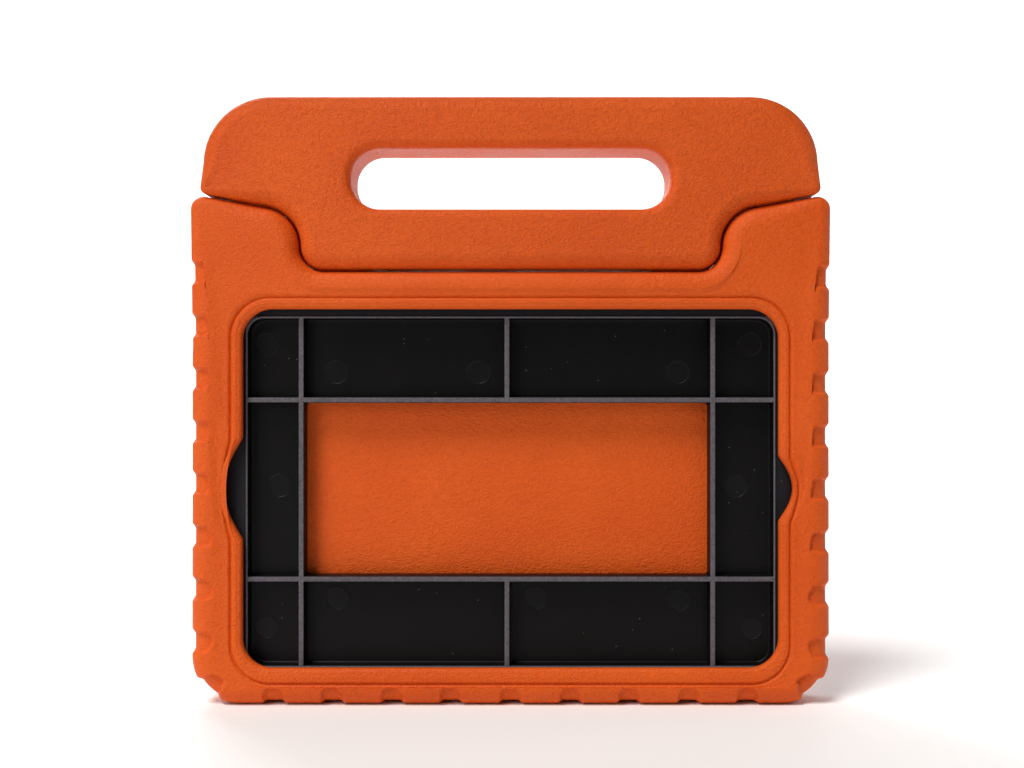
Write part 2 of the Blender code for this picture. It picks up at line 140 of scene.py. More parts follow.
def ringNormals(rings):
    # Outward normals of a grid of closed rings: the cross product of its two central differences.
    around = np.roll(rings, -1, 1) - np.roll(rings, 1, 1)
    across = np.empty_like(rings)
    across[1:-1] = rings[2:] - rings[:-2]
    across[0] = rings[1] - rings[0]
    across[-1] = rings[-1] - rings[-2]
    normal = np.cross(across, around)
    return normal / np.maximum(np.linalg.norm(normal, axis=2, keepdims=True), 1e-12)


def addPiece(name, content):
    # An object for a mesh, a light or a camera, put in the scene.
    piece = bpy.data.objects.new(name, content)
    bpy.context.scene.collection.objects.link(piece)
    return piece


def ringMesh(name, rings, closed=False):
    # Quads between successive rings; the ends are filled, or joined to each other where closed.
    count, around = rings.shape[:2]
    index = np.arange(count * around).reshape(count, around)
    following = np.roll(index, -1, 1)
    quads = np.stack([index, np.roll(index, -1, 0), np.roll(following, -1, 0), following], -1)
    quads = (quads if closed else quads[:-1]).reshape(-1, 4)
    mesh = bpy.data.meshes.new(name)
    faces = quads.tolist()
    if not closed:
        faces += [index[0].tolist(), index[-1][::-1].tolist()]
    mesh.from_pydata(rings.reshape(-1, 3).tolist(), [], faces)
    mesh.validate()
    mesh.polygons.foreach_set("use_smooth", np.ones(len(mesh.polygons), dtype=bool))
    return addPiece(name, mesh)


def outwardFaces(piece):
    # Closed shells get their faces turned outwards.
    build = bmesh.new()
    build.from_mesh(piece.data)
    bmesh.ops.remove_doubles(build, verts=build.verts, dist=1e-6)
    bmesh.ops.recalc_face_normals(build, faces=build.faces)
    build.to_mesh(piece.data)
    build.free()


def tube(name, axis, centre, profile, steps=48):
    # A solid turned about an axis: profile is (along, radius) and the ends are on the axis.
    profile = np.array(profile)
    angle = 2 * math.pi * np.arange(steps) / steps
    rings = np.zeros((len(profile), steps, 3))
    other = [item for item in range(3) if item != axis]
    rings[:, :, axis] = profile[:, 0, None]
    rings[:, :, other[0]] = centre[other[0]] + profile[:, 1, None] * np.cos(angle)
    rings[:, :, other[1]] = centre[other[1]] + profile[:, 1, None] * np.sin(angle)
    return ringMesh(name, rings)


def roundBar(name, xRange, middle, half, radius, steps=10):
    # A bar along X with a rounded section in YZ.
    corner = []
    for sideY, sideZ, begin in ((1, 1, 0), (-1, 1, 90), (-1, -1, 180), (1, -1, 270)):
        angle = np.radians(begin + 90 * np.arange(steps) / (steps - 1))
        corner.append(np.stack([sideY * (half[0] - radius) + radius * np.cos(angle),
                                sideZ * (half[1] - radius) + radius * np.sin(angle)], 1))
    section = np.concatenate(corner)
    rings = np.zeros((2, len(section), 3))
    rings[:, :, 0] = np.array(xRange)[:, None]
    rings[:, :, 1] = middle[0] + section[:, 0]
    rings[:, :, 2] = middle[1] + section[:, 1]
    return ringMesh(name, rings)


def carve(piece, tools, mode='DIFFERENCE'):
    # One boolean for all the tools, applied to the mesh; the tools are then removed.
    for tool in tools:
        outwardFaces(tool)
        change = piece.modifiers.new(tool.name, 'BOOLEAN')
        change.operation = mode
        change.solver = 'MANIFOLD'
        change.object = tool
    graph = bpy.context.evaluated_depsgraph_get()
    graph.update()
    mesh = bpy.data.meshes.new_from_object(piece.evaluated_get(graph))
    old = piece.data
    piece.modifiers.clear()
    piece.data = mesh
    mesh.name = piece.name
    bpy.data.meshes.remove(old)
    for tool in tools:
        bpy.data.objects.remove(tool, do_unlink=True)
    mesh.polygons.foreach_set("use_smooth", np.ones(len(mesh.polygons), dtype=bool))
    mesh.set_sharp_from_angle(angle=math.radians(42))
    mesh.materials.clear()


def paint(piece, material):
    piece.data.materials.clear()
    piece.data.materials.append(material)
    piece.data.polygons.foreach_set("material_index", np.zeros(len(piece.data.polygons), dtype=np.int32))


def newMaterial(name):
    material = bpy.data.materials.new(name)
    material.use_nodes = True
    tree = material.node_tree
    shader = tree.nodes["Principled BSDF"]
    return material, tree, shader


def addNode(tree, kind, settings=(), links=(), **values):
    # A node with its settings, its socket values and what is linked into its sockets.
    node = tree.nodes.new(kind)
    for key, value in dict(settings).items():
        setattr(node, key, value)
    for key, value in values.items():
        node.inputs[key.replace("_", " ")].default_value = value
    for key, source in dict(links).items():
        tree.links.new(source, node.inputs[key])
    return node


def shade(colour, share=1.0):
    # The four values of a colour socket, with the colour made darker or lighter.
    return (*[min(1.0, share * part) for part in colour], 1.0)


foamLook = dict(
    colour=(0.690, 0.089, 0.0048),      # the foam's own orange
    lightColour=(0.750, 0.110, 0.0080),  # where the skin is paler
    grainShadeColour=(0.560, 0.060, 0.0040),   # painted shade in the bottoms of the grain
    roughness=0.47,
    specular=0.22,
    wrinkleScale=(760.0, 1100.0, 1300.0),  # wrinkles per metre; they run along the case's width
    poreScale=1900.0,
    poreShare=0.22,                       # how much of the relief the pores make
    patchScale=26.0,
    shadeFrom=0.52,                      # painted shade: the wrinkles' hollows are darkened from this value of the wrinkle noise down to the next
    shadeTo=0.34,
    shadeShare=0.35,
    grainDepth=0.0007,
)


def foamMaterial(name, look, grain=1.0):
    # Leather-like skin: wavy wrinkles of about a millimetre, pores over them, slow patches of colour, and
    # painted shade that darkens the wrinkles' hollows.
    material, tree, shader = newMaterial(name)
    place = addNode(tree, "ShaderNodeTexCoord").outputs["Object"]
    stretched = addNode(tree, "ShaderNodeMapping", links={"Vector": place}, Scale=look["wrinkleScale"])
    wrinkles = addNode(tree, "ShaderNodeTexNoise", links={"Vector": stretched.outputs["Vector"]},
                       Scale=1.0, Detail=2.5, Roughness=0.5, Distortion=0.9)
    pores = addNode(tree, "ShaderNodeTexVoronoi", {"feature": 'SMOOTH_F1'}, {"Vector": place},
                    Scale=look["poreScale"], Smoothness=0.6)
    patches = addNode(tree, "ShaderNodeTexNoise", links={"Vector": place},
                      Scale=look["patchScale"], Detail=5.0)
    patchMix = addNode(tree, "ShaderNodeMapRange", links={"Value": patches.outputs["Fac"]},
                       From_Min=0.35, From_Max=0.68)
    base = addNode(tree, "ShaderNodeMixRGB", {}, {"Fac": patchMix.outputs["Result"]},
                   Color1=shade(look["colour"]), Color2=shade(look["lightColour"]))
    # painted shade: where the wrinkle noise is low, in the hollows, the colour is mixed towards the shade
    # colour; grain scales how much
    hollowShade = addNode(tree, "ShaderNodeMapRange", links={"Value": wrinkles.outputs["Fac"]},
                      From_Min=look["shadeFrom"], From_Max=look["shadeTo"],
                      To_Max=look["shadeShare"] * grain)
    skin = addNode(tree, "ShaderNodeMixRGB", {},
                   {"Fac": hollowShade.outputs["Result"], "Color1": base.outputs["Color"]},
                   Color2=shade(look["grainShadeColour"]))
    tree.links.new(skin.outputs["Color"], shader.inputs["Base Color"])
    rough = addNode(tree, "ShaderNodeMapRange", links={"Value": patches.outputs["Fac"]},
                    From_Min=0.3, From_Max=0.7, To_Min=look["roughness"] - 0.05,
                    To_Max=look["roughness"] + 0.08)
    tree.links.new(rough.outputs["Result"], shader.inputs["Roughness"])
    shader.inputs["Specular IOR Level"].default_value = look["specular"]
    height = addNode(tree, "ShaderNodeMixRGB", {},
                     {"Color1": wrinkles.outputs["Fac"], "Color2": pores.outputs["Distance"]},
                     Fac=look["poreShare"])
    bump = addNode(tree, "ShaderNodeBump", links={"Height": height.outputs["Color"]},
                   Strength=0.8 * grain, Distance=look["grainDepth"])
    tree.links.new(bump.outputs["Normal"], shader.inputs["Normal"])
    return material


formerLook = dict(
    floorColour=(0.0036, 0.0031, 0.0034),
    ribColour=(0.105, 0.096, 0.110),
    shoulderColour=(0.0125, 0.0125, 0.0165),
    dustColour=(0.20, 0.18, 0.16),
    floorRoughness=0.36,
    ribRoughness=0.62,
    specular=0.13,
    grainScale=1500.0,
    grainDepth=0.00006,
    cloudScale=45.0,
    hazeShare=0.12,                     # how much the clouds roughen the gloss
    speckScale=340.0,
    speckSize=0.07,
    speckRare=0.72,                     # the share of places that hold no speck
    shoulderX=formerHigh[0] - 0.0058,   # the shoulder lies outside these lines
    shoulderZ=formerHigh[2] - 0.0058,
)


def formerMaterial(name, look, topFrom, topTo):
    # Black moulded plastic: glossy low down, grainy on the rib tops, with specks of dust on all of it.
    material, tree, shader = newMaterial(name)
    place = addNode(tree, "ShaderNodeTexCoord").outputs["Object"]
    split = addNode(tree, "ShaderNodeSeparateXYZ", links={"Vector": place})
    top = addNode(tree, "ShaderNodeMapRange", links={"Value": split.outputs["Y"]},
                  From_Min=topTo, From_Max=topFrom)
    grain = addNode(tree, "ShaderNodeTexNoise", links={"Vector": place},
                    Scale=look["grainScale"], Detail=3.0)
    clouds = addNode(tree, "ShaderNodeTexNoise", links={"Vector": place},
                     Scale=look["cloudScale"], Detail=5.0)
    specks = addNode(tree, "ShaderNodeTexVoronoi", {"feature": 'F1'}, {"Vector": place},
                     Scale=look["speckScale"])
    speckMask = addNode(tree, "ShaderNodeMapRange", links={"Value": specks.outputs["Distance"]},
                        From_Min=look["speckSize"], From_Max=look["speckSize"] / 2)
    rare = addNode(tree, "ShaderNodeSeparateXYZ", links={"Vector": specks.outputs["Color"]})
    few = addNode(tree, "ShaderNodeMath", {"operation": 'GREATER_THAN'}, {0: rare.outputs["X"]})
    few.inputs[1].default_value = look["speckRare"]
    dust = addNode(tree, "ShaderNodeMath", {"operation": 'MULTIPLY'},
                   {0: speckMask.outputs["Result"], 1: few.outputs["Value"]})
    floorTone = addNode(tree, "ShaderNodeMixRGB", {}, {"Fac": clouds.outputs["Fac"]},
                        Color1=shade(look["floorColour"], 0.7), Color2=shade(look["floorColour"], 1.35))
    ribTone = addNode(tree, "ShaderNodeMixRGB", {}, {"Fac": grain.outputs["Fac"]},
                      Color1=shade(look["ribColour"], 0.25), Color2=shade(look["ribColour"], 1.8))
    outside = addNode(tree, "ShaderNodeMath", {"operation": 'ABSOLUTE'}, {0: split.outputs["X"]})
    endShare = addNode(tree, "ShaderNodeMapRange", links={"Value": outside.outputs["Value"]},
                       From_Min=look["shoulderX"], From_Max=look["shoulderX"] + 0.0002)
    highShare = addNode(tree, "ShaderNodeMapRange", links={"Value": split.outputs["Z"]},
                        From_Min=look["shoulderZ"], From_Max=look["shoulderZ"] + 0.0002)
    onShoulder = addNode(tree, "ShaderNodeMath", {"operation": 'MAXIMUM'},
                         {0: endShare.outputs["Result"], 1: highShare.outputs["Result"]})
    smoothTone = addNode(tree, "ShaderNodeMixRGB", {},
                         {"Fac": onShoulder.outputs["Value"], "Color1": floorTone.outputs["Color"]},
                         Color2=shade(look["shoulderColour"]))
    below = addNode(tree, "ShaderNodeMath", {"operation": 'SUBTRACT'}, {1: onShoulder.outputs["Value"]})
    below.inputs[0].default_value = 1.0
    onRib = addNode(tree, "ShaderNodeMath", {"operation": 'MULTIPLY'},
                    {0: top.outputs["Result"], 1: below.outputs["Value"]})
    tone = addNode(tree, "ShaderNodeMixRGB", {},
                   {"Fac": onRib.outputs["Value"], "Color1": smoothTone.outputs["Color"],
                    "Color2": ribTone.outputs["Color"]})
    dusty = addNode(tree, "ShaderNodeMixRGB", {},
                    {"Fac": dust.outputs["Value"], "Color1": tone.outputs["Color"]},
                    Color2=shade(look["dustColour"]))
    tree.links.new(dusty.outputs["Color"], shader.inputs["Base Color"])
    rough = addNode(tree, "ShaderNodeMapRange", links={"Value": top.outputs["Result"]},
                    To_Min=look["floorRoughness"], To_Max=look["ribRoughness"])
    haze = addNode(tree, "ShaderNodeMath", {"operation": 'MULTIPLY_ADD'},
                   {0: clouds.outputs["Fac"], 2: rough.outputs["Result"]})
    haze.inputs[1].default_value = look["hazeShare"]
    tree.links.new(haze.outputs["Value"], shader.inputs["Roughness"])
    shader.inputs["Specular IOR Level"].default_value = look["specular"]
    bump = addNode(tree, "ShaderNodeBump", links={"Height": grain.outputs["Fac"]},
                   Strength=0.35, Distance=look["grainDepth"])
    tree.links.new(bump.outputs["Normal"], shader.inputs["Normal"])
    return material


def turnedMetal(name, colour, roughness):
    # Turned metal: rings round the axis that show as fine roughness and bump bands.
    material, tree, shader = newMaterial(name)
    place = addNode(tree, "ShaderNodeTexCoord").outputs["Object"]
    stretch = addNode(tree, "ShaderNodeMapping", links={"Vector": place}, Scale=(9000.0, 60.0, 60.0))
    lines = addNode(tree, "ShaderNodeTexNoise", links={"Vector": stretch.outputs["Vector"]},
                    Scale=1.0, Detail=3.0)
    stains = addNode(tree, "ShaderNodeTexNoise", links={"Vector": place}, Scale=500.0, Detail=4.0)
    tone = addNode(tree, "ShaderNodeMixRGB", {}, {"Fac": stains.outputs["Fac"]},
                   Color1=shade(colour, 0.8), Color2=shade(colour))
    tree.links.new(tone.outputs["Color"], shader.inputs["Base Color"])
    rough = addNode(tree, "ShaderNodeMapRange", links={"Value": lines.outputs["Fac"]},
                    From_Min=0.3, From_Max=0.7, To_Min=roughness - 0.08, To_Max=roughness + 0.12)
    tree.links.new(rough.outputs["Result"], shader.inputs["Roughness"])
    shader.inputs["Metallic"].default_value = 1.0
    bump = addNode(tree, "ShaderNodeBump", links={"Height": lines.outputs["Fac"]},
                   Strength=0.2, Distance=0.00003)
    tree.links.new(bump.outputs["Normal"], shader.inputs["Normal"])
    return material


def mouldedNylon(name, colour, roughness):
    # Moulded nylon: a fine spark-eroded grain and a slow change of tone.
    material, tree, shader = newMaterial(name)
    place = addNode(tree, "ShaderNodeTexCoord").outputs["Object"]
    grain = addNode(tree, "ShaderNodeTexNoise", links={"Vector": place}, Scale=3200.0, Detail=3.0)
    cloud = addNode(tree, "ShaderNodeTexNoise", links={"Vector": place}, Scale=220.0, Detail=3.0)
    tone = addNode(tree, "ShaderNodeMixRGB", {}, {"Fac": cloud.outputs["Fac"]},
                   Color1=shade(colour, 0.75), Color2=shade(colour, 1.15))
    tree.links.new(tone.outputs["Color"], shader.inputs["Base Color"])
    rough = addNode(tree, "ShaderNodeMapRange", links={"Value": grain.outputs["Fac"]},
                    To_Min=roughness - 0.06, To_Max=roughness + 0.1)
    tree.links.new(rough.outputs["Result"], shader.inputs["Roughness"])
    bump = addNode(tree, "ShaderNodeBump", links={"Height": grain.outputs["Fac"]},
                   Strength=0.25, Distance=0.00005)
    tree.links.new(bump.outputs["Normal"], shader.inputs["Normal"])
    return material


bodyFoam = dict(
    # points on each stretch and arc of the right half of the outline, from the middle below
    counts=(200, 34, 390, 20, 18, 22, 4, 18, 46),
    cornerPoints=32,           # on each upper corner of the inner loops
    topShares=(1.0, 0.965, 0.905, 0.895, 0.80, 0.0),  # where the outline's upper turns fall on them
    corner=0.017,              # lower corners of the outline
    earWidth=0.0379,
    earSlope=math.radians(10),
    earRise=0.0009,            # how far the outline's corner lies above the rounded ear
    earCorner=0.0045,
    earRun=110,                # points over which the rounding narrows towards the ear's corner
    earShoulder=0.014,
    recessCorner=0.009,
    recessFloor=0.1539,
    roll=0.0066,               # how far the front edge's rounding reaches in
    rollDeep=0.0058,
    backRoll=0.0045,
    crownFall=0.0013,          # how deep the bezel dips towards the crease
    creaseHalf=0.0990,
    creaseLow=0.0077,
    creaseHigh=0.1446,
    creaseCorner=0.0140,
    creaseBulge=0.0027,
    creaseWidth=0.0012,
    creaseDepth=0.00085,
    bandSwell=0.00012,         # how far the lip's face swells between its edge and the crease
    lipHalf=0.0950,
    lipLow=0.0132,
    lipHigh=0.1404,
    lipCorner=0.0105,
    lipBulgeLeft=0.0066,
    lipBulgeRight=0.0050,
    lipBulgeReachLeft=0.0182,  # half of each bulge's height
    lipBulgeReachRight=0.0115,
    lipEdge=0.0016,            # rounding of the lip's edge
    lipFall=0.0005,
    lipThickness=0.0041,
    bayHalf=0.1036,
    bayCorner=0.0100,
    bayDeep=-0.0004,           # Y of the bay's floor
    panelMargin=0.0150,
    panelDepth=0.0045,
    panelRound=0.0015,
    panelCorner=0.0120,
)

notches = dict(
    leftTop=0.1535,            # height of the highest one on the left
    rightTop=0.1517,
    pitch=0.01874,
    each=8,
    lowPitch=0.0210,
    lowReach=4,                # how many lie either side of the middle one
    ease=0.0008,               # how much softer its ends are on the side than on the face
    flat=0.0031,               # half of its flat floor, and half of its whole width
    half=0.0041,
    depth=0.0012,
    faceGain=0.12,
    reach=0.0089,              # how far it runs in over the face, and on the lower edge
    lowFlat=0.0031,
    lowHalf=0.0039,
    lowReachIn=0.0068,
    lowDepth=0.0012,
    cornerFlat=0.0045,
    cornerHalf=0.0055,
    cornerDepth=0.0015,
)


def bodyRings(shape, dents):
    # One outline is carried from the middle of the bay's floor, up the bay's wall, round the lip, over
    # the bezel and the outside to the back panel. Every ring has the same points in the same order.
    half = bodyHigh[0]
    front, back = bodyLow[1], bodyHigh[1]
    floor = shape["recessFloor"]
    counts = shape["counts"]
    inner = half - shape["earWidth"]
    earTop = bodyHigh[2] + shape["earRise"]
    shoulder = earTop - shape["earWidth"] * math.tan(shape["earSlope"])
    right, normal = arcPoints([(0, 0, 0), (half, 0, shape["corner"]),
                               (half, earTop, shape["earCorner"]),
                               (inner, shoulder, shape["earShoulder"]),
                               (inner, floor, shape["recessCorner"]), (0, floor, 0)], counts)
    ends = np.cumsum(counts)
    outer = mirrored(right)
    outNormal = mirrored(normal)
    total = len(outer)

    # the rounding is as wide as it can be everywhere but round the ear's tight corner
    tight = shape["earCorner"] * 0.86
    turns = [ends[2] - shape["earRun"], ends[2] - 6, ends[3] + 2, ends[3] + 14, ends[5] - 4]
    room = np.interp(np.arange(len(right)), turns,
                     [shape["roll"], tight, tight, shape["roll"], shape["rollDeep"]])
    room = softened(mirrored(room[:, None], False)[:, 0], 14)
    count = len(right)

    def innerLoop(halfWide, low, high, radius, bulgeRight=0.0, bulgeLeft=0.0):
        # The same number of points as the outline: lower edge, corner, side, then corner and top edge.
        top = count - ends[2]
        arc = shape["cornerPoints"]
        spread = [*counts[:3], arc, top - arc]
        side, _ = arcPoints([(0, low, 0), (halfWide, low, radius), (halfWide, high, radius),
                             (0, high, 0)], spread)
        turnings = [ends[2] + arc, ends[4], ends[5], ends[6], ends[7], count - 1]
        place = np.arange(ends[2] + arc, count)
        side[place, 0] = np.interp(place, turnings, shape["topShares"]) * (halfWide - radius)
        middle = (low + high) / 2
        loop = mirrored(side)
        right = loop[:, 0] > 0
        reach = np.where(right, shape["lipBulgeReachRight"], shape["lipBulgeReachLeft"])
        away = np.minimum(np.abs(loop[:, 1] - middle) / reach, 1.0)
        hump = softened((1 - away ** 2) ** 1.15 * (np.abs(loop[:, 0]) > halfWide - 0.001), 5)
        loop[:, 0] += np.where(right, bulgeRight, -bulgeLeft) * hump
        return loop

    lip = innerLoop(shape["lipHalf"], shape["lipLow"], shape["lipHigh"], shape["lipCorner"],
                    shape["lipBulgeRight"], shape["lipBulgeLeft"])
    crease = innerLoop(shape["creaseHalf"], shape["creaseLow"], shape["creaseHigh"], shape["creaseCorner"],
                       shape["creaseBulge"], shape["creaseBulge"])
    bayLow, bayHigh = formerLow[2] - 0.0005, formerHigh[2] + 0.0005
    bay = innerLoop(shape["bayHalf"], bayLow, bayHigh, shape["bayCorner"])
    margin = shape["panelMargin"]
    panel = innerLoop(half - margin, margin, floor - margin, shape["panelCorner"])
    middleBay = np.array([0.0, (bayLow + bayHigh) / 2])
    deep, lipBack = shape["bayDeep"], front + shape["lipThickness"]

    rings, inward, facing = [], [], []     # facing 1 on the front, -1 on the back, 0 on the side

    def ring(loop, y, inset=0.5, face=0.0):
        place = np.empty((total, 3))
        place[:, 0], place[:, 2] = loop[:, 0], loop[:, 1]
        place[:, 1] = y
        rings.append(place)
        inward.append(np.broadcast_to(inset, (total,)))
        facing.append(face)

    for share in (0.03, 0.4, 0.7, 0.9, 0.985):
        ring(middleBay + (bay - middleBay) * share, deep)
    for y in np.linspace(deep, lipBack, 4):
        ring(bay, y)
    lipNormal = loopNormals(lip)
    edge = shape["lipEdge"]
    for share in (0.25, 0.6, 0.88):
        ring(bay + (lip + lipNormal * 0.0004 - bay) * share, lipBack)
    lipTop = front + shape["lipFall"] + 0.0004
    ring(lip + lipNormal * 0.0003, lipBack - 0.00005)
    ring(lip + lipNormal * 0.00005, lipBack - 0.0004)
    ring(lip, lipTop + edge * 1.15)
    for angle in np.radians([8, 22, 38, 54, 70, 84]):
        ring(lip + lipNormal * edge * (1 - math.cos(angle)), lipTop + edge * (1 - math.sin(angle)))
    # lip band, from the edge to the crease; it swells a little in its middle
    bandStart = lip + lipNormal * edge
    creaseHalfWidth = shape["creaseWidth"] / 2
    creaseNormal = loopNormals(crease)
    bandEnd = crease - creaseNormal * creaseHalfWidth * 2
    for share in (0.1, 0.22, 0.36, 0.5, 0.64, 0.78, 0.9, 1.0):
        swell = shape["bandSwell"] * math.sin(math.pi * share) ** 2
        ring(bandStart + (bandEnd - bandStart) * share, lipTop - 0.0002 * share - swell)
    # crease: a narrow round-bottomed valley
    bezelY = front + shape["crownFall"] * 0.55
    for share in np.linspace(-0.9, 0.9, 7):
        dip = shape["creaseDepth"] * math.cos(share / 0.9 * math.pi / 2) ** 2
        level = lipTop - 0.0002 + (bezelY - lipTop + 0.0002) * (share + 0.9) / 1.8
        ring(crease + creaseNormal * creaseHalfWidth * share * 1.6, level + dip)
    # bezel: up from the crease to the crown
    bezelStart = crease + creaseNormal * creaseHalfWidth * 2
    bezelEnd = outer - outNormal * room[:, None]
    gap = np.linalg.norm(bezelEnd - bezelStart, axis=1)
    for share in np.linspace(0.04, 0.955, 22):
        place = bezelStart + (bezelEnd - bezelStart) * share
        ring(place, bezelY + (front - bezelY) * smooth(share), room + gap * (1 - share), 1.0)
    # front rounding, side, and rear rounding
    rollDepth = room * 0.86
    for angle in np.radians(np.linspace(0, 90, 15)):
        bend = math.sin(angle)
        drop = 1 - math.cos(angle)
        place = outer - outNormal * (room * (1 - bend))[:, None]
        ring(place, front + rollDepth * drop, room * (1 - bend), 1.0)
    backRoll = np.minimum(room, shape["backRoll"])
    for share in np.linspace(0.1, 0.9, 5):
        ring(outer, front + rollDepth + (back - backRoll - front - rollDepth) * share, 0.0, 0.0)
    for angle in np.radians(np.linspace(0, 90, 9)):
        place = outer - outNormal * (backRoll * (1 - math.cos(angle)))[:, None]
        ring(place, back - backRoll * (1 - math.sin(angle)), backRoll * (1 - math.cos(angle)), -1.0)
    backEnd = outer - outNormal * backRoll[:, None]
    panelNormal = loopNormals(panel)
    panelRound = shape["panelRound"]
    panelRim = panel + panelNormal * panelRound
    gapBack = np.linalg.norm(panelRim - backEnd, axis=1)
    for share in (0.15, 0.35, 0.6, 0.8, 1.0):
        ring(backEnd + (panelRim - backEnd) * share, back, backRoll + gapBack * share, -1.0)
    for angle in np.radians([18, 36, 54, 72, 90]):
        ring(panelRim - panelNormal * panelRound * math.sin(angle),
             back - panelRound * (1 - math.cos(angle)))
    floorY = back - shape["panelDepth"]
    ring(panel, floorY + panelRound)
    for angle in np.radians([22, 45, 68, 90]):
        ring(panel - panelNormal * panelRound * (1 - math.cos(angle)),
             floorY + panelRound * (1 - math.sin(angle)))
    middlePanel = np.array([0.0, floor / 2])
    for share in (0.96, 0.7, 0.35, 0.03):
        ring(middlePanel + (panel - panelNormal * panelRound - middlePanel) * share, floorY)
    rings, inward = np.array(rings), np.array(inward)
    facing = np.array(facing)[:, None]
    return dented(rings, inward, facing, outer, dents)


def dented(rings, inward, facing, outer, dents):
    # Grip notches: each presses the surface in along its normal, by a depth that fades with the
    # distance from a capsule that lies across the edge and ends in a half circle on the face.
    distance = runLength(outer)
    circumference = distance[-1]
    run = distance[:-1]
    normal = ringNormals(rings)
    press = np.zeros(rings.shape[:2])
    edgeLine = np.abs(facing) + (inward == 0.0)

    def notch(centre, flat, halfWidth, depth, reach):
        away = (run - centre + circumference / 2) % circumference - circumference / 2
        beyond = np.maximum(0.0, inward - (reach - halfWidth))
        radial = np.sqrt(away[None, :] ** 2 + beyond ** 2)
        ease = dents["ease"] * (1 - np.minimum(1.0, inward / 0.003))
        share = 1 - smooth((radial - flat + ease) / (halfWidth - flat + 2 * ease))
        deeper = 1 + dents["faceGain"] * np.minimum(1.0, inward / 0.003)
        press[:] = np.maximum(press, depth * deeper * share * (inward < reach) * (edgeLine > 0))

    def nearest(x, z):
        return run[np.argmin((outer[:, 0] - x) ** 2 + (outer[:, 1] - z) ** 2)]

    half = bodyHigh[0]
    for number in range(dents["each"]):
        for side, top in ((-1, dents["leftTop"]), (1, dents["rightTop"])):
            height = top - number * dents["pitch"]
            notch(nearest(side * half, height), dents["flat"], dents["half"], dents["depth"],
                  dents["reach"])
    for number in range(-dents["lowReach"], dents["lowReach"] + 1):
        notch(nearest(number * dents["lowPitch"], 0.0), dents["lowFlat"], dents["lowHalf"],
              dents["lowDepth"], dents["lowReachIn"])
    slant = bodyFoam["corner"] * (1 - math.sqrt(0.5))
    for side in (-1, 1):
        notch(nearest(side * (half - slant), slant), dents["cornerFlat"], dents["cornerHalf"],
              dents["cornerDepth"], dents["reach"])
    return rings - normal * press[:, :, None]


openings = dict(
    overlap=0.003,         # how far a tool starts inside the bay
    past=0.002,            # and how far it ends outside the case
    pocketRadius=0.0105,
    pocketIn=0.0690,
    pocketFace=0.0780,
    bossRadius=0.0048,
    bossDeep=0.0860,
    cameraRadius=0.0060,
    cameraStraight=0.0045,  # Y where the camera hole starts to widen
    cameraFlare=0.004,
    cameraIn=0.0150,       # from the bay's side and top
    jackRadius=0.0045,
    jackIn=0.0160,
    jackRim=0.0015,        # how deep its widened mouth is
    jackFlare=0.0022,
    socketHalf=(0.0033, 0.0080),
    socketRound=0.0025,
    speakerHalf=(0.0023, 0.0110),
    speakerRound=0.0020,
    speakerSpacing=0.0340,
)


def bodyTools(sizes):
    # Tools for the hinge pockets, the camera hole, the socket, the speaker slots and the jack hole.
    middleY = (formerLow[1] + formerHigh[1]) / 2
    middleZ = (formerLow[2] + formerHigh[2]) / 2
    half = bodyHigh[0]
    bayHalf = bodyFoam["bayHalf"]
    bayTop = formerHigh[2] + 0.0005
    tools = []
    for side in (-1, 1):
        profile = [(side * sizes["pocketIn"], sizes["pocketRadius"]),
                   (side * sizes["pocketFace"], sizes["pocketRadius"]),
                   (side * sizes["pocketFace"], sizes["bossRadius"]),
                   (side * sizes["bossDeep"], sizes["bossRadius"])]
        tools.append(tube("pocketTool", 0, hinge, profile))
    inside, outside = bayHalf - sizes["overlap"], half + sizes["past"]
    camera = np.array([sizes["cameraIn"] - bayHalf, 0.0, bayTop - sizes["cameraIn"]])
    wide = sizes["cameraRadius"]
    tools.append(tube("cameraTool", 1, camera, [(-sizes["overlap"], wide), (sizes["cameraStraight"], wide),
                                                (bodyHigh[1], wide + sizes["cameraFlare"])]))
    jack = np.array([0.0, middleY, bayTop - sizes["jackIn"]])
    wide = sizes["jackRadius"]
    tools.append(tube("jackTool", 0, jack, [(-inside, wide), (sizes["jackRim"] - half, wide),
                                            (-outside, wide + sizes["jackFlare"])]))
    tools.append(roundBar("socketTool", (inside, outside), (middleY, middleZ), sizes["socketHalf"],
                          sizes["socketRound"]))
    for lift in (-1, 1):
        place = (middleY, middleZ + lift * sizes["speakerSpacing"])
        tools.append(roundBar("speakerTool", (inside, outside), place, sizes["speakerHalf"],
                              sizes["speakerRound"]))
    return tools


bodySkin = ringMesh("bodyFoam", bodyRings(bodyFoam, notches))
outwardFaces(bodySkin)
carve(bodySkin, bodyTools(openings))
paint(bodySkin, foamMaterial("orangeFoam", foamLook))
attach(bodySkin, "case")
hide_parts("foam_body")
print("foam body:", len(bodySkin.data.polygons), "faces")


handleFoam = dict(
    # points on each stretch and arc of the right half of the outline, from the middle below
    counts=(60, 16, 10, 24, 26, 14, 26, 28, 66),
    gap=0.0008,
    barHalf=0.0748,
    barCorner=0.0082,
    shoulder=0.0148,
    slope=math.radians(10),
    wingCorner=0.0024,
    taper=0.0012,
    topCorner=0.0240,
    roll=0.0062,
    slotHalf=0.0566,
    slotLow=0.1760,
    slotHigh=0.1974,
    slotCorner=0.0102,
    slotRoll=0.0034,
    crown=0.0004,
    faceStep=0.00016,      # how far the outer rounding starts below the face
    bore=0.0044,
    touch=0.00079,         # how far the wing swells towards the ear at mid depth
)


